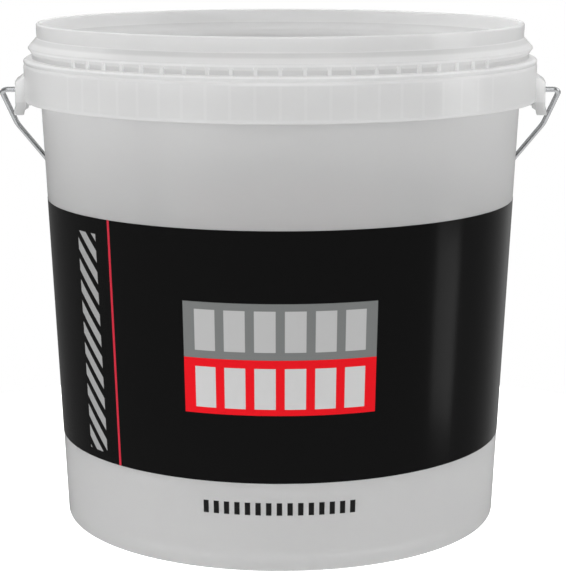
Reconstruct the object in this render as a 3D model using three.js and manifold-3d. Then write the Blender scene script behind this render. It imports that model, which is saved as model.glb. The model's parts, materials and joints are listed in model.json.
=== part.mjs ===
// A round plastic mixing bucket with a swinging wire bail, a turning grip on the bail and a printed wrap
// label. Millimetres, +Z up, standing on z = 0 with the bucket's axis on the Z axis. The front, where the
// label's panel is, faces -Y; the two ears that carry the bail are at -X and +X; the bail rests behind.

import * as THREE from 'three';
import { mergeVertices } from 'three/addons/utils/BufferGeometryUtils.js';
import Module from 'manifold-3d';

// ---- Driving dimensions ----

// Bucket shell: a straight cone from the foot to the rim.
const HEIGHT = 365;
const FOOT_RADIUS = 160.4; // outside of the cone, carried down to z = 0
const DRAFT = 0.0457; // growth of the radius for each millimetre of height
const WALL = 2.2;
const FLOOR_UNDERSIDE = 5; // the floor is raised inside a foot ring
const FLOOR_THICKNESS = 2.6;
const FOOT_INNER_RADIUS = 154.2;
const FOOT_OUTER_RADIUS = 158;
const FOOT_ROUNDING = 3.4; // height over which the foot turns into the cone
const FLOOR_FILLET = 6;
const RIM_FLAT_INSIDE = 174.55; // the flat top of the rim, which a lid's seal meets
const RIM_FLAT_OUTSIDE = 175.8;
const RIM_EDGE = 1.5; // height of the rim's rounded edge

// Snap bead that a lid clips over, and the groove under it.
const BEAD_TOP = 354.2;
const BEAD_RADIUS = 183;
const BEAD_MIDDLE = 347.5;
const GROOVE_RADIUS = 180.6;
const GROOVE_TOP = 343.5;

// Flange and skirt below the bead.
const FLANGE_TOP = 340.2;
const FLANGE_UNDERSIDE = 337.8;
const SKIRT_RADIUS = 186.6;
const SKIRT_WALL = 2;
const SKIRT_BOTTOM = 309.8;

// Stiffening ribs between the shell and the skirt. There are none near the ears.
const SEGMENTS = 72;
const RIB_PITCH = 5; // degrees
const RIB_REACH = 50; // degrees either side of the front and of the back
const RIB_THICKNESS = 2;
const RIB_BOTTOM = 312;

// Ears, which stand out from the skirt on both sides.
const EAR_HALF_ANGLE = 11; // degrees either side of the X axis
const EAR_RADIUS = 193;
const EAR_FOOT_RADIUS = 187.2; // inner end of the ear's lower edge
const EAR_LIP_RADIUS = 194.6; // the ear flares out a little at its lower edge
const EAR_LIP_TOP = 305.5;
const EAR_BOTTOM = 300;
const EAR_TOP = 327.6;
const EAR_SKIN = 2.1;
const EAR_POCKET_TOP = 322.2;
const EAR_HUB_HALF_ANGLE = 3.6; // solid block around the bail's hole
const EAR_RIB_ANGLE = 0.65;

// Wire bail. It is drawn in its own plane: x across the bucket, s away from the pivot line.
const PIVOT_HEIGHT = 315.3;
const WIRE_RADIUS = 2;
const WIRE_SIDES = 12;
const HOLE_CLEARANCE = 0.35;
const REST_ANGLE = 52.15; // between the resting bail and straight down
const BAIL_DROP = 226.5; // pivot line to the middle of the grip
const HOOK_X = 180; // the hooked wire end, between shell and skirt
const HOOK_LENGTH = 10;
const ELBOW_X = 205.1;
const KINK = [198.9, 47.2];
const SHOULDER = [141.2, BAIL_DROP];
const HOOK_BEND = 3.6;
const ELBOW_BEND = 4.4;
const KINK_BEND = 40;
const SHOULDER_BEND = 118;

// Grip, a tube that turns on the straight middle of the bail.
const GRIP_LENGTH = 98;
const GRIP_RADIUS = 9.5;
const GRIP_END_RADIUS = 8.2;
const GRIP_BORE = 2.6;
const GRIP_GROOVE_DEPTH = 0.9;
const GRIP_GROOVES = 5;
const GRIP_GROOVE_PITCH = 14;
const GRIP_GROOVE_HALF_WIDTH = 1.6;
const GRIP_SIDES = 24;

// Wrap label, with a narrow gap at the back where its ends meet.
const LABEL_BOTTOM = 63.7;
const LABEL_TOP = 238.2;
const LABEL_GAP = 0.15;
const LABEL_THICKNESS = 0.3;
const LABEL_SEAM_ANGLE = 0.5; // degrees either side of the back

// ---- Helpers ----

const wasm = await Module();
wasm.setup();

const radians = THREE.MathUtils.degToRad;
const wallRadius = (z) => FOOT_RADIUS + DRAFT * z;

// A closed geometry as a solid that can be joined and cut.
function toSolid(geometry) {
  const bare = geometry.clone();
  bare.deleteAttribute('normal');
  bare.deleteAttribute('uv');
  const merged = mergeVertices(bare);
  const corners = merged.index.array;
  const kept = [];
  for (let i = 0; i < corners.length; i += 3) {
    const [a, b, c] = [corners[i], corners[i + 1], corners[i + 2]];
    // A turned profile that touches its axis has triangles there with no area.
    if (a !== b && b !== c && c !== a) kept.push(a, b, c);
  }
  const mesh = new wasm.Mesh({
    numProp: 3,
    vertProperties: new Float32Array(merged.attributes.position.array),
    triVerts: new Uint32Array(kept),
  });
  return new wasm.Manifold(mesh);
}

function toGeometry(solid) {
  const { vertProperties, triVerts } = solid.getMesh();
  const geometry = new THREE.BufferGeometry();
  geometry.setAttribute('position', new THREE.BufferAttribute(vertProperties, 3));
  geometry.setIndex(new THREE.BufferAttribute(triVerts, 1));
  geometry.computeVertexNormals();
  return geometry;
}

// Turns a profile of [radius, height] points about Z. The first segment starts at the front, -Y.
function turned(profile, segments = SEGMENTS) {
  const points = profile.map(([radius, height]) => new THREE.Vector2(radius, height));
  return new THREE.LatheGeometry(points, segments).rotateX(Math.PI / 2);
}

// The same for a ring, whose profile closes on itself.
function turnedRing(profile, segments = SEGMENTS) {
  return turned([...profile, profile[0]], segments);
}

// A wedge of space about the Z axis, centred on the +X direction and tall enough to cut the whole bucket.
function wedge(halfAngle, centre = 0) {
  const reach = 2 * HEIGHT;
  const shape = new THREE.Shape();
  shape.moveTo(0, 0);
  for (const side of [-1, 1]) {
    const angle = radians(centre + side * halfAngle);
    shape.lineTo(reach * Math.cos(angle), reach * Math.sin(angle));
  }
  const prism = new THREE.ExtrudeGeometry(shape, { depth: 2 * HEIGHT, bevelEnabled: false });
  return toSolid(prism.translate(0, 0, -HEIGHT / 2));
}

// Points along a bent wire: straight runs between corners, each corner rounded to its bend radius.
// A corner is [x, s, bend radius]; the first and last corners are the wire's ends.
function bentWire(corners, stepAngle = 12) {
  const points = [];
  corners.forEach(([x, s, bend], i) => {
    const corner = new THREE.Vector2(x, s);
    if (!bend) {
      points.push(corner);
      return;
    }
    const before = new THREE.Vector2(...corners[i - 1]).sub(corner).normalize();
    const after = new THREE.Vector2(...corners[i + 1]).sub(corner).normalize();
    const turn = Math.PI - Math.acos(before.dot(after));
    const setback = bend * Math.tan(turn / 2);
    const start = corner.clone().addScaledVector(before, setback);
    const inward = before.clone().add(after).normalize();
    const centre = corner.clone().addScaledVector(inward, bend / Math.cos(turn / 2));
    const spin = Math.sign(before.cross(after)) * -1;
    const steps = Math.max(2, Math.ceil(THREE.MathUtils.radToDeg(turn) / stepAngle));
    for (let k = 0; k <= steps; k += 1) {
      points.push(start.clone().rotateAround(centre, (spin * turn * k) / steps));
    }
  });
  return points;
}

// An extrusion path with one step at each given point, so that tight bends get short steps.
class StepPath extends THREE.Curve {
  constructor(points) {
    super();
    this.points = points;
  }

  getPointAt(u) {
    return this.points[Math.round(u * (this.points.length - 1))].clone();
  }

  getTangentAt(u) {
    const i = Math.round(u * (this.points.length - 1));
    const here = this.points[i];
    const arriving = here.clone().sub(this.points[Math.max(i - 1, 0)]).normalize();
    const leaving = this.points[Math.min(i + 1, this.points.length - 1)].clone().sub(here).normalize();
    return arriving.add(leaving).normalize();
  }
}

// ---- Bucket: one moulding ----

function bucketShell() {
  const inside = (z) => wallRadius(z) - WALL;
  const floorTop = FLOOR_UNDERSIDE + FLOOR_THICKNESS;
  const profile = [
    [0, FLOOR_UNDERSIDE],
    [FOOT_INNER_RADIUS - 1.4, FLOOR_UNDERSIDE],
    [FOOT_INNER_RADIUS, 0],
    [FOOT_OUTER_RADIUS, 0],
    [FOOT_OUTER_RADIUS + 1.5, 0.8],
    [wallRadius(FOOT_ROUNDING), FOOT_ROUNDING],
    [wallRadius(FLANGE_UNDERSIDE), FLANGE_UNDERSIDE],
    [SKIRT_RADIUS - SKIRT_WALL, FLANGE_UNDERSIDE],
    [SKIRT_RADIUS - SKIRT_WALL, SKIRT_BOTTOM],
    [SKIRT_RADIUS - 0.3, SKIRT_BOTTOM],
    [SKIRT_RADIUS, SKIRT_BOTTOM + 0.8],
    [SKIRT_RADIUS, FLANGE_TOP - 1.6],
    [SKIRT_RADIUS - 0.9, FLANGE_TOP - 0.3],
    [SKIRT_RADIUS - 2.2, FLANGE_TOP],
    [GROOVE_RADIUS, FLANGE_TOP],
    [GROOVE_RADIUS, GROOVE_TOP],
    [BEAD_RADIUS, BEAD_MIDDLE - 0.5],
    [BEAD_RADIUS, BEAD_MIDDLE + 0.5],
    [wallRadius(BEAD_TOP) + 1, BEAD_TOP - 0.5],
    [wallRadius(BEAD_TOP), BEAD_TOP + 0.7],
    [wallRadius(HEIGHT - RIM_EDGE), HEIGHT - RIM_EDGE],
    [RIM_FLAT_OUTSIDE + 0.8, HEIGHT - 0.4],
    [RIM_FLAT_OUTSIDE, HEIGHT],
    [RIM_FLAT_INSIDE, HEIGHT],
    [inside(HEIGHT - 1), HEIGHT - 1],
    [inside(floorTop + FLOOR_FILLET), floorTop + FLOOR_FILLET],
    [inside(floorTop) - FLOOR_FILLET / 5, floorTop + FLOOR_FILLET / 3],
    [inside(floorTop) - FLOOR_FILLET, floorTop],
    [0, floorTop],
  ];
  return toSolid(turned(profile));
}

function skirtRibs() {
  const start = wallRadius(FLANGE_UNDERSIDE) - WALL + 0.6;
  const end = SKIRT_RADIUS - SKIRT_WALL / 2;
  const top = (FLANGE_UNDERSIDE + FLANGE_TOP) / 2;
  const ribs = [];
  for (const facing of [-90, 90]) {
    for (let offset = -RIB_REACH; offset <= RIB_REACH; offset += RIB_PITCH) {
      const rib = new THREE.BoxGeometry(end - start, RIB_THICKNESS, top - RIB_BOTTOM);
      rib.translate((start + end) / 2, 0, (top + RIB_BOTTOM) / 2);
      rib.rotateZ(radians(facing + offset));
      ribs.push(toSolid(rib));
    }
  }
  return ribs;
}

// One ear: a curved box, open below, with a solid block in the middle for the bail's hole.
function ear(centre) {
  const inner = SKIRT_RADIUS - SKIRT_WALL + 0.6;
  const block = toSolid(turnedRing([
    [inner, SKIRT_BOTTOM],
    [EAR_FOOT_RADIUS, EAR_BOTTOM],
    [EAR_LIP_RADIUS, EAR_BOTTOM],
    [EAR_RADIUS, EAR_LIP_TOP],
    [EAR_RADIUS, EAR_TOP - 5],
    [EAR_RADIUS - 1.3, EAR_TOP - 3],
    [SKIRT_RADIUS + 1, EAR_TOP],
    [inner, EAR_TOP],
  ]));
  const pocket = toSolid(turnedRing([
    [inner - 2, EAR_BOTTOM - 2],
    [EAR_LIP_RADIUS - EAR_SKIN, EAR_BOTTOM - 2],
    [EAR_LIP_RADIUS - EAR_SKIN, EAR_BOTTOM],
    [EAR_RADIUS - EAR_SKIN, EAR_LIP_TOP],
    [EAR_RADIUS - EAR_SKIN, EAR_POCKET_TOP],
    [SKIRT_RADIUS + 0.1, EAR_POCKET_TOP],
    [SKIRT_RADIUS + 0.1, SKIRT_BOTTOM],
    [inner - 2, SKIRT_BOTTOM],
  ]));
  const outerEdge = EAR_HALF_ANGLE - EAR_RIB_ANGLE;
  const middle = (outerEdge + EAR_HUB_HALF_ANGLE) / 2;
  let solid = block.intersect(wedge(EAR_HALF_ANGLE, centre));
  for (const side of [-1, 1]) {
    const hollow = pocket.intersect(wedge((outerEdge - EAR_HUB_HALF_ANGLE) / 2, centre + side * middle));
    solid = solid.subtract(hollow);
  }
  return solid;
}

function bailHole() {
  const hole = new THREE.CylinderGeometry(
    WIRE_RADIUS + HOLE_CLEARANCE, WIRE_RADIUS + HOLE_CLEARANCE, 20, 16);
  return hole.rotateZ(Math.PI / 2);
}

function makeBucket() {
  let solid = bucketShell();
  for (const rib of skirtRibs()) {
    solid = solid.add(rib);
  }
  for (const centre of [0, 180]) {
    solid = solid.add(ear(centre));
    const side = centre === 0 ? 1 : -1;
    solid = solid.subtract(toSolid(bailHole().translate(side * (EAR_RADIUS - 3), 0, PIVOT_HEIGHT)));
  }
  return toGeometry(solid);
}

// ---- Bail wire: one length of bent wire, hooked at both ends ----

function makeWire() {
  const right = [
    [HOOK_X, -HOOK_LENGTH],
    [HOOK_X, 0, HOOK_BEND],
    [ELBOW_X, 0, ELBOW_BEND],
    [...KINK, KINK_BEND],
    [...SHOULDER, SHOULDER_BEND],
  ];
  const left = right.map(([x, ...rest]) => [-x, ...rest]).reverse();
  const route = bentWire([...right, ...left]).map(({ x, y }) => new THREE.Vector3(x, 0, -y));
  const section = new THREE.Shape();
  for (let k = 0; k < WIRE_SIDES; k += 1) {
    const angle = (2 * Math.PI * (k + 0.5)) / WIRE_SIDES;
    const corner = [WIRE_RADIUS * Math.cos(angle), WIRE_RADIUS * Math.sin(angle)];
    if (k === 0) section.moveTo(...corner);
    else section.lineTo(...corner);
  }
  const path = new StepPath(route);
  return new THREE.ExtrudeGeometry(section, { steps: route.length - 1, extrudePath: path });
}

// ---- Grip: a turned tube with finger grooves and rounded ends ----

function makeGrip() {
  const half = GRIP_LENGTH / 2;
  const end = [
    [GRIP_BORE, half],
    [GRIP_END_RADIUS - 1, half],
    [GRIP_END_RADIUS, half - 1],
    [GRIP_RADIUS, half - 5],
  ];
  const outline = end.map(([radius, along]) => [radius, -along]);
  for (let k = 0; k < GRIP_GROOVES; k += 1) {
    const middle = (k - (GRIP_GROOVES - 1) / 2) * GRIP_GROOVE_PITCH;
    outline.push([GRIP_RADIUS, middle - GRIP_GROOVE_HALF_WIDTH]);
    outline.push([GRIP_RADIUS - GRIP_GROOVE_DEPTH, middle]);
    outline.push([GRIP_RADIUS, middle + GRIP_GROOVE_HALF_WIDTH]);
  }
  outline.push(...end.reverse());
  return turnedRing(outline, GRIP_SIDES).rotateY(Math.PI / 2);
}

// ---- Wrap label: a thin sleeve that follows the cone, open along the seam at the back ----

function makeLabel() {
  const inner = (z) => wallRadius(z) + LABEL_GAP;
  const outer = (z) => inner(z) + LABEL_THICKNESS;
  const sleeve = toSolid(turnedRing([
    [inner(LABEL_BOTTOM), LABEL_BOTTOM],
    [outer(LABEL_BOTTOM), LABEL_BOTTOM],
    [outer(LABEL_TOP), LABEL_TOP],
    [inner(LABEL_TOP), LABEL_TOP],
  ]));
  return toGeometry(sleeve.subtract(wedge(LABEL_SEAM_ANGLE, 90)));
}

// ---- Assembly ----

function piece(name, geometry, color, roughness, metalness = 0) {
  const material = new THREE.MeshStandardMaterial({ color, roughness, metalness });
  const mesh = new THREE.Mesh(geometry, material);
  mesh.name = name;
  return mesh;
}

const bucket = new THREE.Group();
bucket.add(piece('pail_body', makeBucket(), 0xdcdcda, 0.4));
bucket.add(piece('wrap_label', makeLabel(), 0x151515, 0.35));

// The bail hangs from the ears and leans back until its grip meets the shell.
const bail = new THREE.Group();
bail.position.set(0, 0, PIVOT_HEIGHT);
bail.rotation.x = radians(REST_ANGLE);
bail.add(piece('bail_wire', makeWire(), 0x9a9c9e, 0.3, 1));

const grip = piece('bail_grip', makeGrip(), 0xe2e2e0, 0.45);
grip.position.set(0, 0, -BAIL_DROP);
bail.add(grip);
bucket.add(bail);

export default bucket;
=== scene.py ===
"""The looks of the mixing bucket: a translucent moulded pail with a printed wrap label, a galvanised wire
bail and a turning grip, on a plain pale floor in soft studio light."""

import json
import math

import bmesh
import bpy
import numpy as np
from mathutils import Matrix, Vector


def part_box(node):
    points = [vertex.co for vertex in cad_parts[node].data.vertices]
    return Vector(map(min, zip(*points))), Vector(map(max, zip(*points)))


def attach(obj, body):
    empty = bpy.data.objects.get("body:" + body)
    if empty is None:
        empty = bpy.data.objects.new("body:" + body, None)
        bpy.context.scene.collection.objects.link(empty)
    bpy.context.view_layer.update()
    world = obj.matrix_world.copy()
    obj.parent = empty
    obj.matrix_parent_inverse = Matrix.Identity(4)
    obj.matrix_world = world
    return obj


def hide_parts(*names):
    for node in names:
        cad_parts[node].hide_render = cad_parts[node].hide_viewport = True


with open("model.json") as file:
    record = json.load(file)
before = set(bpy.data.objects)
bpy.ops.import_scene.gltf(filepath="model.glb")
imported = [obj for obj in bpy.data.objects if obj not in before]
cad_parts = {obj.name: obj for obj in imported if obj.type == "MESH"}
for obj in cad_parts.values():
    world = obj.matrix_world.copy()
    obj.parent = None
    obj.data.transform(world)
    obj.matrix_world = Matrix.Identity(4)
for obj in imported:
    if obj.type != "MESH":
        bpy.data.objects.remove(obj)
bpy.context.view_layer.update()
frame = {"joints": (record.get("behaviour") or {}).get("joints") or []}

# ---- Sizes: millimetres, and degrees about the axis from the front (-Y), positive towards +X ----

MM = 0.001

shell_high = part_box("pail_body")[1]
label_low, label_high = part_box("wrap_label")
grip_low, grip_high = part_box("bail_grip")
joints = {joint["name"]: joint for joint in frame["joints"]}
pivot = Vector(joints["bail_swing"]["pos_m"]) / MM
grip_middle = Vector(joints["grip_spin"]["pos_m"]) / MM

HEIGHT = shell_high.z / MM
FOOT_RADIUS = 160.4
DRAFT = 0.0457
WALL = 2.2
WALL_STEPS = 10

# Underside and floor
FLOOR_UNDERSIDE = 5
FLOOR_THICKNESS = 2.6
FOOT_INNER_RADIUS = 154
FOOT_INNER_SLOPE = 1.4
FOOT_CORNER = 2.8
FOOT_TOP = 20
FLOOR_FILLET = 6
FLOOR_RINGS = (48, 96, 128)
FLOOR_RING_WIDTH = 2.4
FLOOR_RING_HEIGHT = 1.2
FLOOR_RING_SLOPE = 0.4
GATE_RADIUS = 4
GATE_HEIGHT = 0.9

# Skirt, with the pocket behind it
RIB_BOTTOM = 312
FLANGE_UNDERSIDE = 337.8
FLANGE_TOP = 340.2
SKIRT_INSIDE = 184.6
SKIRT_FACE = 186.5
SKIRT_NOTCH = (186, 336.4)
SKIRT_NOTCH_TOP = 337.3
SKIRT_BOTTOM = 309.8
SKIRT_HEM_RADIUS = 186.6
SKIRT_HEM_TOP = 312
SKIRT_STEP = 334.6
SKIRT_STEPS = 3
SKIRT_SHOULDER_TOP = 184.6
SKIRT_SHOULDER_LOW = FLANGE_TOP - 1.6
LEDGE_EDGE = 182.5

# Groove, snap bead, neck and rim
GROOVE_RADIUS = 180.6
GROOVE_TOP = 343.5
RIB_HEAD = (182, 345.7)
BEAD_RADIUS = 183
BEAD_LOW = 347
BEAD_HIGH = 347.9
BEAD_SHOULDER = (178, 353.5)
NECK_BOTTOM = 354.9
RIM_INSIDE = 174.5
RIM_THICK_HEIGHT = 1.6

# Ribs
CELLS = 72
CELL_ANGLE = 360 / CELLS
RIB_HALF_ANGLE = 0.38
RIB_REACH = 50  # the ribs are made this far to both sides of the front and of the back
STEPS_BETWEEN_RIBS = 4

# Ears
EAR_HALF_ANGLE = 11
EAR_RADIUS = 193
EAR_LIP_RADIUS = shell_high.x / MM
EAR_LIP_TOP = 305.5
EAR_BOTTOM = 300
EAR_TOP = 327.6
EAR_FACE_TOP = EAR_TOP - 5
EAR_SHOULDER = (EAR_RADIUS - 1.3, EAR_TOP - 3)
EAR_TOP_RADIUS = SKIRT_HEM_RADIUS + 1
EAR_FOOT_RADIUS = 187.2
EAR_SKIN = 2.1
EAR_POCKET_TOP = 322.2
EAR_POCKET_INSIDE = SKIRT_HEM_RADIUS + 0.1
EAR_POCKET_PAST = 2
EAR_HUB_HALF_ANGLE = 3.6
EAR_RIB_ANGLE = 0.65
EAR_INSIDE = SKIRT_INSIDE + 0.6
EAR_STEPS = 20
EAR_POCKET_STEPS = 8
EAR_EDGE = 0.8
EAR_POCKET_EDGE = 0.5
HOLE_RADIUS = 2.35
HOLE_SIDES = 32
HOLE_CUT_LENGTH = 20
HOLE_CUT_MIDDLE = EAR_RADIUS - 3

# Bail
WIRE_RADIUS = 2
WIRE_SIDES = 24
WIRE_TIP_LENGTH = 0.5
WIRE_TIP_RADIUS = WIRE_RADIUS * 0.75
HOOK_X = 180
HOOK_LENGTH = 10
ELBOW_X = 205.1
KINK = (198.9, 47.2)
BAIL_DROP = (grip_middle - pivot).length
SHOULDER = (141.2, BAIL_DROP)
HOOK_BEND = 3.6
ELBOW_BEND = 4.4
KINK_BEND = 40
SHOULDER_BEND = 118
REST_ANGLE = math.atan2(grip_middle.y - pivot.y, pivot.z - grip_middle.z)

# Grip
GRIP_HALF = (grip_high.x - grip_low.x) / MM / 2
GRIP_RADIUS = 9.4
GRIP_COLLAR_RADIUS = 8.2
GRIP_COLLAR_WIDTH = 2.6
GRIP_NECK_RADIUS = GRIP_COLLAR_RADIUS - 0.7
GRIP_NECK_START = 3.4
GRIP_BODY_START = 6.4
GRIP_BORE = 2.6
GRIP_GROOVES = 5
GRIP_PITCH = 14
GRIP_GROOVE_HALF = 1.9
GRIP_GROOVE_DEPTH = 0.9
GRIP_SIDES = 72

# Label
LABEL_BOTTOM = label_low.z / MM
LABEL_TOP = label_high.z / MM
LABEL_GAP = 0.04
LABEL_THICKNESS = 0.16
LABEL_SEAM = 0.15
LABEL_SIDES = 360
LABEL_STEPS = 6

# Print on the label. A fill is the part of each pitch that is printed.
PANEL_HALF_ANGLE = 22.75
PANEL_BOTTOM = 111.7
PANEL_JOIN = 150.2
PANEL_TOP = 189
BLOCK_ROWS = ((155.5, 184), (116, 144.5))
BLOCK_HALF_ANGLE = 21
BLOCK_PITCH = 7
BLOCK_FILL = (0.14, 0.86)
STRIPE = (-43.45, -42.7)
BAR_ANGLES = (-55.2, -47.8)
BAR_HEIGHTS = (70, 227)
BAR_PITCH = 15
BAR_SLANT = 3
BAR_FILL = (0.2, 0.78)
BACK_PATCH_ANGLE = 150
BACK_PATCH_HEIGHTS = (165, 222)

# Print on the wall, under the label
DASH_HALF_ANGLE = 19.2
DASH_HEIGHTS = (40.8, 50)
DASH_PITCH = 2.56
DASH_FILL = (0.14, 0.7)


def wall_radius(z):
    """The outside of the tapered wall at a height."""
    return FOOT_RADIUS + DRAFT * z


# ---- Meshes ----

SHARP_ANGLE = 32
BEVEL_STEPS = 3
BEVEL_ANGLE = 25


def rounded(corners, step=15):
    """Points along a line whose corners are (a, b) or (a, b, fillet radius)."""
    points = []
    for i, corner in enumerate(corners):
        here = Vector(corner[:2])
        if len(corner) == 2:
            points.append(tuple(here))
            continue
        before = (Vector(corners[i - 1][:2]) - here).normalized()
        after = (Vector(corners[i + 1][:2]) - here).normalized()
        turn = math.pi - before.angle(after)
        start = here + before * corner[2] * math.tan(turn / 2)
        centre = here + (before + after).normalized() * corner[2] / math.cos(turn / 2)
        spin = -math.copysign(turn, before.cross(after))
        steps = max(2, math.ceil(math.degrees(turn) / step))
        for k in range(steps + 1):
            arm = Matrix.Rotation(spin * k / steps, 2) @ (start - centre)
            points.append(tuple(centre + arm))
    return points


def around(radius, angle, height):
    """The place at a radius, an angle from the front and a height."""
    turn = math.radians(angle)
    return (radius * math.sin(turn), -radius * math.cos(turn), height)


def new_piece(name, vertices, faces):
    """A smooth-shaded mesh object from millimetres, with its faces pointing out."""
    mesh = bpy.data.meshes.new(name)
    mesh.from_pydata((np.array(vertices) * MM).tolist(), [], faces)
    work = bmesh.new()
    work.from_mesh(mesh)
    bmesh.ops.recalc_face_normals(work, faces=work.faces)
    work.to_mesh(mesh)
    work.free()
    piece = bpy.data.objects.new(name, mesh)
    bpy.context.scene.collection.objects.link(piece)
    smooth(piece)
    return piece


def smooth(piece):
    """Smooth shading, apart from edges sharper than SHARP_ANGLE."""
    piece.data.polygons.foreach_set("use_smooth", [True] * len(piece.data.polygons))
    piece.data.set_sharp_from_angle(angle=math.radians(SHARP_ANGLE))


def apply_modifiers(piece):
    """Makes what the modifiers give the piece's own mesh."""
    bpy.context.view_layer.update()
    graph = bpy.context.evaluated_depsgraph_get()
    result = bpy.data.meshes.new_from_object(piece.evaluated_get(graph))
    old = piece.data
    piece.modifiers.clear()
    piece.data = result
    bpy.data.meshes.remove(old)


def combine(piece, tool, operation):
    """Joins or cuts the piece by another closed one, which is used up."""
    modifier = piece.modifiers.new(operation, "BOOLEAN")
    modifier.operation = operation
    modifier.solver = "EXACT"
    modifier.object = tool
    apply_modifiers(piece)
    bpy.data.objects.remove(tool)


def add_bevel(piece, width):
    """Rounds the piece's sharp edges."""
    modifier = piece.modifiers.new("bevel", "BEVEL")
    modifier.width = width * MM
    modifier.segments = BEVEL_STEPS
    modifier.limit_method = "ANGLE"
    modifier.angle_limit = math.radians(BEVEL_ANGLE)
    apply_modifiers(piece)


def section_faces(sections, rows, closed=False):
    """The faces over a number of sections, each a closed line of as many points as there are rows.

    The last section meets the first one where closed, and both are capped where not."""
    faces = []
    for c in range(sections if closed else sections - 1):
        here, there = c * rows, (c + 1) % sections * rows
        for r in range(rows):
            after = (r + 1) % rows
            faces.append((here + r, there + r, there + after, here + after))
    if not closed:
        faces.append(tuple(range(rows)))
        faces.append(tuple(range((sections - 1) * rows, sections * rows)))
    return faces


def sector(name, outline, angles):
    """A closed outline of (radius, height) carried round the axis from the first angle to the last."""
    vertices = [around(radius, angle, height) for angle in angles for radius, height in outline]
    return new_piece(name, vertices, section_faces(len(angles), len(outline)))


def spread(low, high, steps):
    """Evenly spaced numbers from low to high, both of them included."""
    return [low + (high - low) * k / steps for k in range(steps + 1)]


# ---- Pail: one moulding ----


def underside_and_wall():
    """From the axis under the floor to the outside of the wall where the ribs start."""
    under = FLOOR_UNDERSIDE
    line = [(0, under - GATE_HEIGHT), (GATE_RADIUS - 1, under - GATE_HEIGHT, 0.4), (GATE_RADIUS, under, 0.4)]
    for radius in FLOOR_RINGS:
        low = under - FLOOR_RING_HEIGHT
        line += [
            (radius, under, 0.6),
            (radius + FLOOR_RING_SLOPE, low, 0.5),
            (radius + FLOOR_RING_WIDTH - FLOOR_RING_SLOPE, low, 0.5),
            (radius + FLOOR_RING_WIDTH, under, 0.6),
        ]
    line += [
        (FOOT_INNER_RADIUS - FOOT_INNER_SLOPE, under, 2),
        (FOOT_INNER_RADIUS, 0, 1),
        (wall_radius(0), 0, FOOT_CORNER),
    ]
    line += [(wall_radius(z), z) for z in spread(FOOT_TOP, RIB_BOTTOM, WALL_STEPS)]
    return rounded(line)


def pocket():
    """Between the wall and the skirt, up to the flange."""
    top = FLANGE_UNDERSIDE
    line = [(wall_radius(RIB_BOTTOM), RIB_BOTTOM), (wall_radius(top), top, 1.2), (SKIRT_INSIDE, top, 1.2)]
    return rounded(line + [(SKIRT_INSIDE, RIB_BOTTOM)])[1:-1]


def skirt():
    """From the skirt's inside under the pocket, round its hem and up to the ledge over the flange."""
    return rounded([
        (SKIRT_INSIDE, RIB_BOTTOM),
        (SKIRT_INSIDE, SKIRT_BOTTOM, 0.6),
        (SKIRT_HEM_RADIUS, SKIRT_BOTTOM, 0.8),
        (SKIRT_HEM_RADIUS, SKIRT_HEM_TOP, 0.4),
        (SKIRT_FACE, SKIRT_HEM_TOP + 0.4, 0.4),
        *[(SKIRT_FACE, z) for z in spread(SKIRT_HEM_TOP + 1.2, SKIRT_STEP - 0.8, SKIRT_STEPS)],
        (SKIRT_FACE, SKIRT_STEP, 0.5),
        (*SKIRT_NOTCH, 0.3),
        (SKIRT_FACE, SKIRT_NOTCH_TOP, 0.3),
        (SKIRT_FACE, SKIRT_SHOULDER_LOW, 1),
        (SKIRT_SHOULDER_TOP, FLANGE_TOP, 1),
        (LEDGE_EDGE, FLANGE_TOP),
    ])


def groove():
    """The groove under the snap bead, between two ribs."""
    return rounded([
        (LEDGE_EDGE, FLANGE_TOP),
        (GROOVE_RADIUS, FLANGE_TOP, 0.5),
        (GROOVE_RADIUS, GROOVE_TOP, 0.8),
        RIB_HEAD,
    ])[1:-1]


def bead_and_inside():
    """From under the snap bead over the rim and down inside to the middle of the floor."""
    floor_top = FLOOR_UNDERSIDE + FLOOR_THICKNESS
    rim_low = HEIGHT - RIM_THICK_HEIGHT

    def inside(z):
        return wall_radius(z) - WALL

    line = [
        RIB_HEAD,
        (BEAD_RADIUS, BEAD_LOW, 0.6),
        (BEAD_RADIUS, BEAD_HIGH, 1.2),
        (*BEAD_SHOULDER, 1.2),
        (wall_radius(NECK_BOTTOM), NECK_BOTTOM, 1.0),
        (wall_radius(HEIGHT), HEIGHT, 1.3),
        (RIM_INSIDE, HEIGHT, 0.5),
        (inside(rim_low), rim_low, 0.6),
    ]
    line += [(inside(z), z) for z in spread(HEIGHT - 6, floor_top + 2 * FLOOR_FILLET, WALL_STEPS)]
    line += [(inside(floor_top), floor_top, FLOOR_FILLET), (FLOOR_RINGS[0], floor_top), (0, floor_top - 0.4)]
    return rounded(line)


def shell_angles():
    """The angles of the shell's columns of points, and for each column whether a rib starts at it."""
    angles = []
    ribbed = []
    for cell in range(CELLS):
        rib = cell * CELL_ANGLE
        from_facing = min(rib % 180, 180 - rib % 180)
        angles.append(rib - RIB_HALF_ANGLE)
        ribbed.append(from_facing <= RIB_REACH)
        for angle in spread(RIB_HALF_ANGLE, CELL_ANGLE - RIB_HALF_ANGLE, STEPS_BETWEEN_RIBS)[:-1]:
            angles.append(rib + angle)
            ribbed.append(False)
    return angles, ribbed


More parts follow.
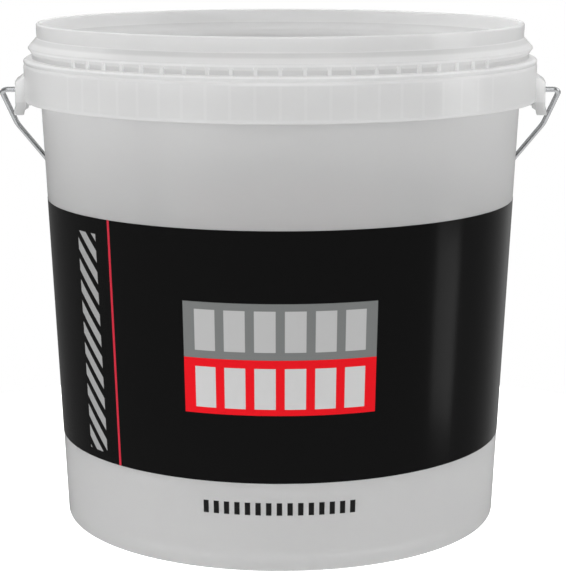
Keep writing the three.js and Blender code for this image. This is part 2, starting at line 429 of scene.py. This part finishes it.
def build_shell():
    """The turned shell, with ribs left standing in the pocket and in the groove."""
    stretches = [underside_and_wall(), pocket(), skirt(), groove(), bead_and_inside()]
    filled_by_ribs = (1, 3)
    line = [point for stretch in stretches for point in stretch]
    starts = np.cumsum([0] + [len(stretch) for stretch in stretches]).tolist()
    # The first and last points of the whole line are on the axis and made only once.
    column = line[1:-1]
    rows = len(column)
    angles, ribbed = shell_angles()
    columns = len(angles)
    vertices = [around(radius, angle, height) for angle in angles for radius, height in column]
    bottom, top = len(vertices), len(vertices) + 1
    vertices += [(0, 0, line[0][1]), (0, 0, line[-1][1])]
    # The rows of faces that a rib takes the place of, from the point before a stretch to the point after it.
    gaps = [range(starts[s] - 2, starts[s + 1] - 1) for s in filled_by_ribs]
    faces = []
    for c in range(columns):
        here, there = c * rows, (c + 1) % columns * rows
        faces.append((here, there, bottom))
        faces.append((here + rows - 1, there + rows - 1, top))
        skipped = set()
        if ribbed[c]:
            for gap in gaps:
                low, high = gap[0], gap[-1] + 1
                skipped.update(gap)
                faces.append((here + low, there + low, there + high, here + high))
                faces.append(tuple(here + r for r in range(low, high + 1)))
                faces.append(tuple(there + r for r in range(low, high + 1)))
        for r in range(rows - 1):
            if r not in skipped:
                faces.append((here + r, there + r, there + r + 1, here + r + 1))
    return new_piece("pail", vertices, faces)


def ear_outside():
    """The ear's block, from the skirt out to its face and its lip."""
    return [
        (EAR_INSIDE, SKIRT_BOTTOM),
        (EAR_FOOT_RADIUS, EAR_BOTTOM),
        (EAR_LIP_RADIUS, EAR_BOTTOM),
        (EAR_RADIUS, EAR_LIP_TOP),
        (EAR_RADIUS, EAR_FACE_TOP),
        EAR_SHOULDER,
        (EAR_TOP_RADIUS, EAR_TOP),
        (EAR_INSIDE, EAR_TOP),
    ]


def ear_hollow():
    """What is cut out of the ear behind its skin. It runs past the ear below and inside."""
    past = EAR_POCKET_PAST
    return [
        (EAR_INSIDE - past, EAR_BOTTOM - past),
        (EAR_LIP_RADIUS - EAR_SKIN, EAR_BOTTOM - past),
        (EAR_LIP_RADIUS - EAR_SKIN, EAR_BOTTOM),
        (EAR_RADIUS - EAR_SKIN, EAR_LIP_TOP),
        (EAR_RADIUS - EAR_SKIN, EAR_POCKET_TOP),
        (EAR_POCKET_INSIDE, EAR_POCKET_TOP),
        (EAR_POCKET_INSIDE, SKIRT_BOTTOM),
        (EAR_INSIDE - past, SKIRT_BOTTOM),
    ]


def bail_hole(side):
    """The round cutter for the bail's hole in the ear on one side."""
    hole = bpy.data.objects.new("hole", bpy.data.meshes.new("hole"))
    bpy.context.scene.collection.objects.link(hole)
    turn = Matrix.Rotation(math.radians(90), 4, "Y")
    place = Matrix.Translation(Vector((side * HOLE_CUT_MIDDLE, 0, pivot.z)) * MM)
    work = bmesh.new()
    bmesh.ops.create_cone(
        work,
        cap_ends=True,
        segments=HOLE_SIDES,
        radius1=HOLE_RADIUS * MM,
        radius2=HOLE_RADIUS * MM,
        depth=HOLE_CUT_LENGTH * MM,
        matrix=place @ turn,
    )
    work.to_mesh(hole.data)
    work.free()
    return hole


def add_ear(shell, side):
    """The ear on the right, side 1, or on the left, side -1: a curved box open below, with a solid hub in
    the middle for the bail's hole."""
    facing = side * 90
    angles = spread(-EAR_HALF_ANGLE, EAR_HALF_ANGLE, EAR_STEPS)
    ear = sector("ear", ear_outside(), [facing + angle for angle in angles])
    add_bevel(ear, EAR_EDGE)
    for half in (-1, 1):
        ends = sorted((half * EAR_HUB_HALF_ANGLE, half * (EAR_HALF_ANGLE - EAR_RIB_ANGLE)))
        cutter = sector("pocket", ear_hollow(), [facing + angle for angle in spread(*ends, EAR_POCKET_STEPS)])
        add_bevel(cutter, EAR_POCKET_EDGE)
        combine(ear, cutter, "DIFFERENCE")
    combine(shell, ear, "UNION")
    combine(shell, bail_hole(side), "DIFFERENCE")


def make_pail():
    """The shell with both ears, as one closed mesh."""
    shell = build_shell()
    for side in (1, -1):
        add_ear(shell, side)
    smooth(shell)
    return shell


# ---- Label ----


def make_label():
    """The film round the wall, with its seam at the back."""
    heights = spread(LABEL_BOTTOM, LABEL_TOP, LABEL_STEPS)
    inner = [(wall_radius(z) + LABEL_GAP, z) for z in reversed(heights)]
    outer = [(wall_radius(z) + LABEL_GAP + LABEL_THICKNESS, z) for z in heights]
    angles = spread(180 + LABEL_SEAM, 540 - LABEL_SEAM, LABEL_SIDES)
    return sector("label", inner + outer, angles)


# ---- Bail ----


def bail_route():
    """The middle of the wire: x across the bucket, s away from the pivot line."""
    right = [
        (HOOK_X, -HOOK_LENGTH),
        (HOOK_X, 0, HOOK_BEND),
        (ELBOW_X, 0, ELBOW_BEND),
        (*KINK, KINK_BEND),
        (*SHOULDER, SHOULDER_BEND),
    ]
    left = [(-x, *rest) for x, *rest in reversed(right)]
    return rounded(right + left, step=5)


def make_wire():
    """The round wire along its route, leaning back to where it rests, with its tips a little thinner."""
    lean = Matrix.Rotation(REST_ANGLE, 3, "X")
    route = [Vector((x, 0, -s)) for x, s in bail_route()]
    across = Vector((0, 1, 0))
    start = (route[1] - route[0]).normalized()
    finish = (route[-2] - route[-1]).normalized()
    tip = [(0, WIRE_TIP_RADIUS), (WIRE_TIP_LENGTH, WIRE_RADIUS)]
    sections = [(route[0] + start * inwards, start.cross(across), radius) for inwards, radius in tip]
    for before, here, after in zip(route, route[1:], route[2:]):
        along = (after - here).normalized() + (here - before).normalized()
        sections.append((here, along.normalized().cross(across), WIRE_RADIUS))
    for inwards, radius in reversed(tip):
        sections.append((route[-1] + finish * inwards, -finish.cross(across), radius))
    vertices = []
    for middle, side, radius in sections:
        for k in range(WIRE_SIDES):
            turn = 2 * math.pi * k / WIRE_SIDES
            arm = (side * math.cos(turn) + across * math.sin(turn)) * radius
            vertices.append(lean @ (middle + arm) + pivot)
    return new_piece("bail_wire_round", vertices, section_faces(len(sections), WIRE_SIDES))


# ---- Grip ----


def make_grip():
    """A moulded tube with finger grooves, collars and rounded ends."""
    end = [
        (GRIP_BORE, -GRIP_HALF),
        (GRIP_COLLAR_RADIUS, -GRIP_HALF, 1.2),
        (GRIP_COLLAR_RADIUS, GRIP_COLLAR_WIDTH - GRIP_HALF, 0.5),
        (GRIP_NECK_RADIUS, GRIP_NECK_START - GRIP_HALF, 0.4),
        (GRIP_RADIUS, GRIP_BODY_START - GRIP_HALF, 2.5),
    ]
    finger_grooves = []
    for k in range(GRIP_GROOVES):
        middle = (k - (GRIP_GROOVES - 1) / 2) * GRIP_PITCH
        finger_grooves += [
            (GRIP_RADIUS, middle - GRIP_GROOVE_HALF, 1),
            (GRIP_RADIUS - GRIP_GROOVE_DEPTH, middle, 2),
            (GRIP_RADIUS, middle + GRIP_GROOVE_HALF, 1),
        ]
    other_end = [(radius, -along, *rest) for radius, along, *rest in reversed(end)]
    line = rounded(end + finger_grooves + other_end)
    vertices = []
    for c in range(GRIP_SIDES):
        turn = 2 * math.pi * c / GRIP_SIDES
        for radius, along in line:
            vertices.append(Vector((along, radius * math.sin(turn), radius * math.cos(turn))) + grip_middle)
    return new_piece("grip_moulding", vertices, section_faces(GRIP_SIDES, len(line), closed=True))


# ---- Materials ----


class Field:
    """A number that varies over a surface, for writing node arithmetic as a formula."""

    def __init__(self, socket):
        self.socket = socket

    def math(self, operation, *others, clamp=False):
        node = self.socket.id_data.nodes.new("ShaderNodeMath")
        node.operation = operation
        node.use_clamp = clamp
        for slot, value in zip(node.inputs, (self, *others)):
            feed(value, slot)
        return Field(node.outputs[0])

    def __add__(self, other):
        return self.math("ADD", other)

    def __sub__(self, other):
        return self.math("SUBTRACT", other)

    def __mul__(self, other):
        return self.math("MULTIPLY", other)

    def above(self, low, soft):
        """0 up to low, and from there up to 1 over a soft edge."""
        return (self - low).math("DIVIDE", soft, clamp=True)

    def below(self, high, soft):
        """0 from high up, and from there down to 1 over a soft edge."""
        return (self * -1 + high).math("DIVIDE", soft, clamp=True)

    def between(self, low, high, soft):
        """1 from low to high and 0 outside, with soft edges inside."""
        return self.above(low, soft) * self.below(high, soft)

    def repeat(self, pitch):
        """Goes from 0 to 1 over every pitch."""
        return self.math("DIVIDE", pitch).math("FRACT")


def feed(value, socket):
    """Links a field or socket to a node's input, or sets a plain value on it."""
    if isinstance(value, Field):
        value = value.socket
    if isinstance(value, bpy.types.NodeSocket):
        socket.id_data.links.new(value, socket)
    else:
        socket.default_value = value


class Surface:
    """A material in the making, with places on the object in millimetres and degrees."""

    def __init__(self, name):
        self.material = bpy.data.materials.new(name)
        self.material.use_nodes = True
        self.tree = self.material.node_tree
        self.tree.nodes.clear()
        self.output = self.tree.nodes.new("ShaderNodeOutputMaterial")
        self.place = self.node("ShaderNodeTexCoord").outputs["Object"]
        parts = self.node("ShaderNodeSeparateXYZ", Vector=self.place)
        self.x, self.y, self.z = (Field(socket) * (1 / MM) for socket in parts.outputs)
        self.angle = self.x.math("ARCTAN2", self.y * -1) * (180 / math.pi)
        self.radius = (self.x * self.x + self.y * self.y).math("SQRT")

    def node(self, kind, **values):
        node = self.tree.nodes.new(kind)
        for name, value in values.items():
            name = name.replace("_", " ")
            if name in node.inputs:
                feed(value, node.inputs[name])
            else:
                setattr(node, name.replace(" ", "_"), value)
        return node

    def noise(self, scale, detail=2.0, roughness=0.5, stretch=(1, 1, 1)):
        """Soft noise from 0 to 1. Scale is bumps to the metre."""
        place = self.node("ShaderNodeMapping", Vector=self.place, Scale=stretch).outputs[0]
        noise = self.node("ShaderNodeTexNoise", Vector=place, Scale=scale, Detail=detail, Roughness=roughness)
        return Field(noise.outputs["Fac"])

    def blend(self, amount, one, two):
        """One colour where amount is 0 and the other where it is 1."""
        mix = self.node("ShaderNodeMix", data_type="RGBA")
        feed(amount, mix.inputs["Factor"])
        feed(one, mix.inputs[6])
        feed(two, mix.inputs[7])
        return mix.outputs[2]

    def mapped(self, amount, low, high):
        """Low where amount is 0 and high where it is 1."""
        return Field(self.node("ShaderNodeMapRange", Value=amount, To_Min=low, To_Max=high).outputs[0])

    def bump(self, height, distance):
        """Bump from a height of 0 to 1, with its full depth in millimetres."""
        return self.node("ShaderNodeBump", Height=height, Distance=distance * MM, Strength=1.0).outputs[0]

    def mixed(self, amount, one, two):
        """One shader where amount is 0 and the other where it is 1."""
        mix = self.node("ShaderNodeMixShader", Fac=amount)
        feed(one.outputs[0], mix.inputs[1])
        feed(two.outputs[0], mix.inputs[2])
        return mix

    def finish(self, shader):
        feed(shader.outputs[0], self.output.inputs["Surface"])
        return self.material


def grey(value):
    return (value, value, value, 1)


# How light the plastic's colour is, from 0, black, to 1, white. The foot is clouded between two values; the
# other values paint shade and highlights onto the moulding.
MILK_FOOT = (0.85, 0.865)
# Painted shade: the wall's middle stretch is darker, where the label shades the inside
MILK_SHADED_WALL = 0.775
# Painted light: from the skirt's hem up the plastic is lighter, standing in for light through the double wall
MILK_LIT_SKIRT = 0.965
MILK_NECK = 0.86
# Painted light: the inside of the neck is lighter than its outside, though it is the same wall
MILK_LIT_NECK_INSIDE = 0.95
# Painted shade: the inside of the wall from the skirt's hem up to the neck is darker
MILK_SHADED_INSIDE_BELOW_NECK = 0.79
# Painted shade: the outside from the ledge up to the neck, over the groove and the snap bead, is darker
MILK_SHADED_BEAD_ROOT = 0.84
# Painted highlight: the snap bead's upper and lower edges are lighter
MILK_BEAD_EDGE_HIGHLIGHT = 0.985
# Painted shade: the narrow face over the skirt's step, under the ledge, is darker
MILK_SHADED_STEP = 0.86
# Painted highlight: lighter lines over the ribs, and lighter bands round the skirt's step and hem
MILK_PAINTED_LIGHT_LINES = 0.995

# What the stretch of the wall with painted shade lies between, and how slowly the shade comes and goes
SHADED_WALL_HEIGHTS = (55, 310)
SHADED_WALL_SOFT = 75

# The part of a cell that a rib's painted lighter line covers, on the skirt and in the groove
SKIRT_LINE = (0.42, 0.58)
GROOVE_LINE = (0.39, 0.61)

# How much of the light in the plastic is scattered right through it
TRANSLUCENT_SHARE = 0.45

# Inks, and the two ends of what the other colours vary between
WALL_INK = 0.006
BLACK_INK = (0.004, 0.007)
PANEL_GREY = (0.168, 0.174, 0.172, 1)
PANEL_RED = (0.69, 0.009, 0.015, 1)
UPPER_BLOCK_GREY = 0.43
LOWER_BLOCK_GREY = 0.52
STRIPE_RED = (0.50, 0.025, 0.045, 1)
BAR_GREY = 0.3
BACK_RED = (0.75, 0.02, 0.02, 1)
ZINC = ((0.42, 0.43, 0.44, 1), (0.68, 0.69, 0.70, 1))
GRIP_WHITE = ((0.80, 0.80, 0.78, 1), (0.86, 0.86, 0.85, 1))


def painted_light_lines(look):
    """Where light is painted on: lighter lines over the ribs, on the skirt and in the groove, and lighter
    bands at the skirt's hem and step all round.
    """
    cell = (look.angle + CELL_ANGLE / 2).repeat(CELL_ANGLE)
    on_skirt = look.z.between(SKIRT_HEM_TOP, SKIRT_STEP, 0.5) * look.radius.above(SKIRT_INSIDE, 0.1)
    in_groove = look.z.between(FLANGE_TOP, RIB_HEAD[1], 0.2) * look.radius.above(GROOVE_RADIUS + 0.1, 0.2)
    lines = on_skirt * cell.between(*SKIRT_LINE, 0.03) + in_groove * cell.between(*GROOVE_LINE, 0.02)
    # The cosine of the angle from the front or from the back, whichever is nearer.
    facing = look.y.math("ABSOLUTE").math("DIVIDE", look.radius)
    ribs = lines * facing.above(math.cos(math.radians(RIB_REACH + 1)), 0.001)
    step = look.z.between(SKIRT_STEP, SKIRT_NOTCH[1], 0.4)
    hem = look.z.between(SKIRT_BOTTOM, SKIRT_HEM_TOP, 0.4)
    return ribs + (step + hem) * look.radius.between(SKIRT_INSIDE, EAR_FOOT_RADIUS, 0.1)


def milk_tone_with_painted_light(look):
    """The plastic's colour: clouded at random, with painted shade and painted highlights laid over it."""
    milk_with_painted_light = look.blend(look.noise(9, 3), *[grey(value) for value in MILK_FOOT])
    inside = (look.radius - look.z * DRAFT).below(FOOT_RADIUS - WALL / 2, 0.1)
    in_neck = look.z.between(NECK_BOTTOM, HEIGHT + 1, 0.6)
    below_neck = look.z.between(SKIRT_BOTTOM, NECK_BOTTOM, 0.6)
    outside = look.radius.above(wall_radius(NECK_BOTTOM) + 0.3, 0.3)
    upper_edge = look.z.between(BEAD_HIGH, NECK_BOTTOM, 0.2)
    lower_edge = look.z.between(RIB_HEAD[1] - 1, BEAD_HIGH, 0.2)
    step = look.z.between(SKIRT_NOTCH[1] + 0.2, FLANGE_TOP - 1.2, 0.3)
    # Each one lies over the ones before it, and each one is painted shade or painted light.
    layers = (
        (look.z.between(*SHADED_WALL_HEIGHTS, SHADED_WALL_SOFT), MILK_SHADED_WALL),
        (look.z.above(SKIRT_BOTTOM - 1, 1), MILK_LIT_SKIRT),
        (in_neck, MILK_NECK),
        (in_neck * inside, MILK_LIT_NECK_INSIDE),
        (below_neck * inside, MILK_SHADED_INSIDE_BELOW_NECK),
        (look.z.between(FLANGE_TOP + 0.2, NECK_BOTTOM, 0.4) * outside, MILK_SHADED_BEAD_ROOT),
        (upper_edge * look.radius.above(BEAD_SHOULDER[0] + 1.2, 1.2), MILK_BEAD_EDGE_HIGHLIGHT),
        (lower_edge * look.radius.above(RIB_HEAD[0] - 0.2, 0.6), MILK_BEAD_EDGE_HIGHLIGHT),
        (step * look.radius.above(SKIRT_INSIDE, 0.1), MILK_SHADED_STEP),
        (painted_light_lines(look), MILK_PAINTED_LIGHT_LINES),
    )
    for place, value in layers:
        milk_with_painted_light = look.blend(place, milk_with_painted_light, grey(value))
    return milk_with_painted_light


def wall_print(look):
    """The row of plain dashes under the label, on the outside of the wall only."""
    outside = look.radius.above(wall_radius(DASH_HEIGHTS[0]) - WALL / 2, 0.1)
    dash = (look.angle + DASH_HALF_ANGLE).repeat(DASH_PITCH).between(*DASH_FILL, 0.04)
    row = look.z.between(*DASH_HEIGHTS, 0.2) * look.angle.between(-DASH_HALF_ANGLE, DASH_HALF_ANGLE, 0.05)
    return row * dash * outside


def shell_plastic():
    """Natural polypropylene: milky, a little see-through and glossy, with flow marks, and with painted shade
    and highlights in its colour.
    """
    look = Surface("shell_plastic")
    milk_with_painted_light = milk_tone_with_painted_light(look)
    flow = look.noise(30, 3, 0.5, (1, 1, 0.4))
    rough = look.mapped(flow, 0.10, 0.17)
    normal = look.bump(flow, 0.015)
    gloss = look.node(
        "ShaderNodeBsdfPrincipled",
        Base_Color=milk_with_painted_light,
        Roughness=rough,
        Normal=normal,
        IOR=1.49,
        Transmission_Weight=0.6,
        Specular_IOR_Level=1.0,
    )
    through = look.node("ShaderNodeBsdfTranslucent", Color=milk_with_painted_light, Normal=normal)
    ink = look.node("ShaderNodeBsdfPrincipled", Base_Color=grey(WALL_INK), Roughness=rough, Normal=normal)
    plastic = look.mixed(TRANSLUCENT_SHARE, gloss, through)
    return look.finish(look.mixed(wall_print(look), plastic, ink))


def label_print(look):
    """Plain print on black: a grey and red panel with rows of blocks, a thin stripe and slanted bars.

    At the back there is one plain red patch."""
    panel = look.angle.between(-PANEL_HALF_ANGLE, PANEL_HALF_ANGLE, 0.05)
    fill = (look.angle + BLOCK_HALF_ANGLE).repeat(BLOCK_PITCH).between(*BLOCK_FILL, 0.02)
    blocks = fill * look.angle.between(-BLOCK_HALF_ANGLE, BLOCK_HALF_ANGLE, 0.05)
    upper, lower = [blocks * look.z.between(*heights, 0.2) for heights in BLOCK_ROWS]
    slant = (look.z + look.angle * BAR_SLANT).repeat(BAR_PITCH).between(*BAR_FILL, 0.02)
    bars = slant * look.angle.between(*BAR_ANGLES, 0.1) * look.z.between(*BAR_HEIGHTS, 0.2)
    at_back = look.angle.math("ABSOLUTE").above(BACK_PATCH_ANGLE, 0.1)
    layers = (
        (panel * look.z.between(PANEL_JOIN, PANEL_TOP, 0.1), PANEL_GREY),
        (panel * look.z.between(PANEL_BOTTOM, PANEL_JOIN + 0.1, 0.1), PANEL_RED),
        (upper, grey(UPPER_BLOCK_GREY)),
        (lower, grey(LOWER_BLOCK_GREY)),
        (look.angle.between(*STRIPE, 0.05), STRIPE_RED),
        (bars, grey(BAR_GREY)),
        (at_back * look.z.between(*BACK_PATCH_HEIGHTS, 0.2), BACK_RED),
    )
    ink = look.blend(look.noise(2500, 1), *[grey(value) for value in BLACK_INK])
    for place, colour in layers:
        ink = look.blend(place, ink, colour)
    return ink


def label_film():
    """Printed film: black, smooth and a little wavy."""
    look = Surface("label_film")
    film = look.node(
        "ShaderNodeBsdfPrincipled",
        Base_Color=label_print(look),
        Roughness=look.mapped(look.noise(60, 3), 0.13, 0.18),
        Normal=look.bump(look.noise(14, 2, 0.5), 0.15),
        Specular_IOR_Level=0.08,
    )
    return look.finish(film)


def bail_steel():
    """Drawn galvanised wire: bright, with fine lines along it and duller patches."""
    look = Surface("bail_steel")
    patches = look.noise(160, 4, 0.6)
    lines = look.noise(3000, 2, 0.5, (0.06, 1, 0.06))
    steel = look.node(
        "ShaderNodeBsdfPrincipled",
        Base_Color=look.blend(patches, *ZINC),
        Roughness=look.mapped(patches, 0.14, 0.3),
        Normal=look.bump(lines, 0.02),
        Metallic=0.88,
    )
    return look.finish(steel)


def grip_plastic():
    """White moulded polypropylene, satin, with a fine grain."""
    look = Surface("grip_plastic")
    grain = look.noise(2200, 2)
    satin = look.node(
        "ShaderNodeBsdfPrincipled",
        Base_Color=look.blend(look.noise(40, 3), *GRIP_WHITE),
        Roughness=look.mapped(grain, 0.34, 0.46),
        Normal=look.bump(grain, 0.03),
        Subsurface_Weight=0.15,
        Subsurface_Radius=(0.004, 0.004, 0.004),
    )
    return look.finish(satin)


# ---- Stage: metres, degrees and watts ----

# How bright the surroundings are: to soft light, and in reflections of the room, of the sweep and of the side
SOFT_LIGHT = 0.3
MIRRORED_ROOM = 0.15
MIRRORED_SWEEP = 0.9
MIRRORED_SIDE = 0.5

FLOOR_RADIUS = 0.42
FLOOR_SIDES = 128
FLOOR_TONE = 0.8
FLOOR_GLOW = 0.78

CAMERA_PLACE = (0, -1.4118, 0.4453)
CAMERA_TILT_DOWN = 11.228
CAMERA_LENS = 119.2
CAMERA_SENSOR = 36
CAMERA_SHIFT = 0.0047


def make_floor():
    """A pale floor that the camera sees as nearly white, and that reflections don't show."""
    mesh = bpy.data.meshes.new("studio_floor")
    work = bmesh.new()
    bmesh.ops.create_circle(work, cap_ends=True, segments=FLOOR_SIDES, radius=FLOOR_RADIUS)
    work.to_mesh(mesh)
    work.free()
    floor = bpy.data.objects.new("studio_floor", mesh)
    bpy.context.scene.collection.objects.link(floor)
    look = Surface("studio_floor")
    matt = look.node("ShaderNodeBsdfDiffuse", Color=grey(FLOOR_TONE))
    seen = look.node("ShaderNodeLightPath").outputs["Is Camera Ray"]
    glow = look.node("ShaderNodeEmission", Color=grey(1), Strength=look.mapped(seen, 0, FLOOR_GLOW))
    total = look.node("ShaderNodeAddShader")
    feed(matt.outputs[0], total.inputs[0])
    feed(glow.outputs[0], total.inputs[1])
    mesh.materials.append(look.finish(total))
    floor.visible_glossy = False


def add_light(name, place, target, size, power, mirrored=True):
    """A soft box that the camera doesn't see, and that reflections show only where it is mirrored."""
    data = bpy.data.lights.new(name, "AREA")
    data.shape = "RECTANGLE"
    data.size, data.size_y = size
    data.energy = power
    light = bpy.data.objects.new(name, data)
    light.location = place
    light.rotation_euler = (Vector(target) - Vector(place)).to_track_quat("-Z", "Y").to_euler()
    light.visible_camera = False
    light.visible_glossy = mirrored
    bpy.context.scene.collection.objects.link(light)


def make_world():
    """White behind the object for the camera, soft light from all round, and a dimmer room in reflections."""
    world = bpy.data.worlds.new("studio")
    world.use_nodes = True
    nodes, links = world.node_tree.nodes, world.node_tree.links
    nodes.clear()

    def background(name, strength):
        node = nodes.new("ShaderNodeBackground")
        node.name = name
        node.inputs["Color"].default_value = grey(1)
        node.inputs["Strength"].default_value = strength
        return node.outputs[0]

    def choose(amount, one, two):
        mix = nodes.new("ShaderNodeMixShader")
        links.new(amount, mix.inputs[0])
        links.new(one, mix.inputs[1])
        links.new(two, mix.inputs[2])
        return mix.outputs[0]

    def ramp(value, start, end):
        node = nodes.new("ShaderNodeMapRange")
        node.interpolation_type = "SMOOTHSTEP"
        links.new(value, node.inputs["Value"])
        node.inputs["From Min"].default_value = start
        node.inputs["From Max"].default_value = end
        return node.outputs[0]

    def combined(operation, one, two):
        node = nodes.new("ShaderNodeMath")
        node.operation = operation
        links.new(one, node.inputs[0])
        links.new(two, node.inputs[1])
        return node.outputs[0]

    toward = nodes.new("ShaderNodeSeparateXYZ")
    links.new(nodes.new("ShaderNodeTexCoord").outputs["Generated"], toward.inputs[0])
    x, y, z = toward.outputs
    # Reflections show a bright sweep behind the object and far below it, and a paler side low on the right.
    behind = combined("MULTIPLY", ramp(y, 0, 0.5), ramp(z, -0.02, 0.1))
    on_sweep = combined("MAXIMUM", behind, ramp(z, -0.35, -0.7))
    on_side = combined("MULTIPLY", ramp(x, 0.1, 0.5), ramp(y, 0.4, 1.1))
    room = choose(on_side, background("room", MIRRORED_ROOM), background("side", MIRRORED_SIDE))
    mirrored = choose(on_sweep, room, background("sweep", MIRRORED_SWEEP))
    ray = nodes.new("ShaderNodeLightPath").outputs
    unseen = choose(ray["Is Glossy Ray"], background("soft", SOFT_LIGHT), mirrored)
    seen = choose(ray["Is Camera Ray"], unseen, background("backdrop", 1))
    output = nodes.new("ShaderNodeOutputWorld")
    links.new(seen, output.inputs[0])
    bpy.context.scene.world = world


def make_camera():
    """In front of the object and a little above it, looking down on it slightly."""
    data = bpy.data.cameras.new("camera")
    data.lens = CAMERA_LENS
    data.sensor_width = CAMERA_SENSOR
    data.shift_x = CAMERA_SHIFT
    camera = bpy.data.objects.new("camera", data)
    camera.location = CAMERA_PLACE
    camera.rotation_euler = (math.radians(90 - CAMERA_TILT_DOWN), 0, 0)
    bpy.context.scene.collection.objects.link(camera)
    bpy.context.scene.camera = camera


def make_stage():
    make_floor()
    make_world()
    make_camera()
    add_light("overhead", (0, 0, 1.35), (0, 0, 0.2), (0.9, 0.9), 18, mirrored=False)
    add_light("left_box", (-1.5, 0.2, 0.12), (0, 0, 0.2), (1.5, 0.5), 9.5, mirrored=False)
    add_light("left_front", (-1.1, -1.2, 0.32), (0, 0, 0.25), (0.8, 0.8), 7, mirrored=False)
    add_light("right_fill", (1.3, 0.4, 0.12), (0, 0, 0.2), (1.2, 0.45), 7.5, mirrored=False)
    add_light("right_front", (1.1, -1.2, 0.32), (0, 0, 0.25), (0.8, 0.8), 2.2, mirrored=False)
    add_light("front_panel", (0, -1.5, 0.89), (0, 0, 0.89), (1.6, 1.2), 12)
    add_light("right_box", (1.4, -0.233, 0.71), (0, -0.233, 0.71), (0.607, 1.18), 4.6)
    add_light("right_box_low", (1.4, -0.115, -0.2), (0, -0.115, -0.2), (0.37, 0.28), 0.6)
    bpy.context.scene.view_settings.view_transform = "Standard"


# ---- Assembly ----


def add_piece(piece, material, body, node):
    """Gives a piece its material and the body it rides on, and hides the CAD node it stands for."""
    piece.data.materials.clear()
    piece.data.materials.append(material)
    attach(piece, body)
    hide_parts(node)


make_stage()
add_piece(make_pail(), shell_plastic(), "bucket", "pail_body")
add_piece(make_label(), label_film(), "bucket", "wrap_label")
add_piece(make_wire(), bail_steel(), "bail", "bail_wire")
add_piece(make_grip(), grip_plastic(), "grip", "bail_grip")
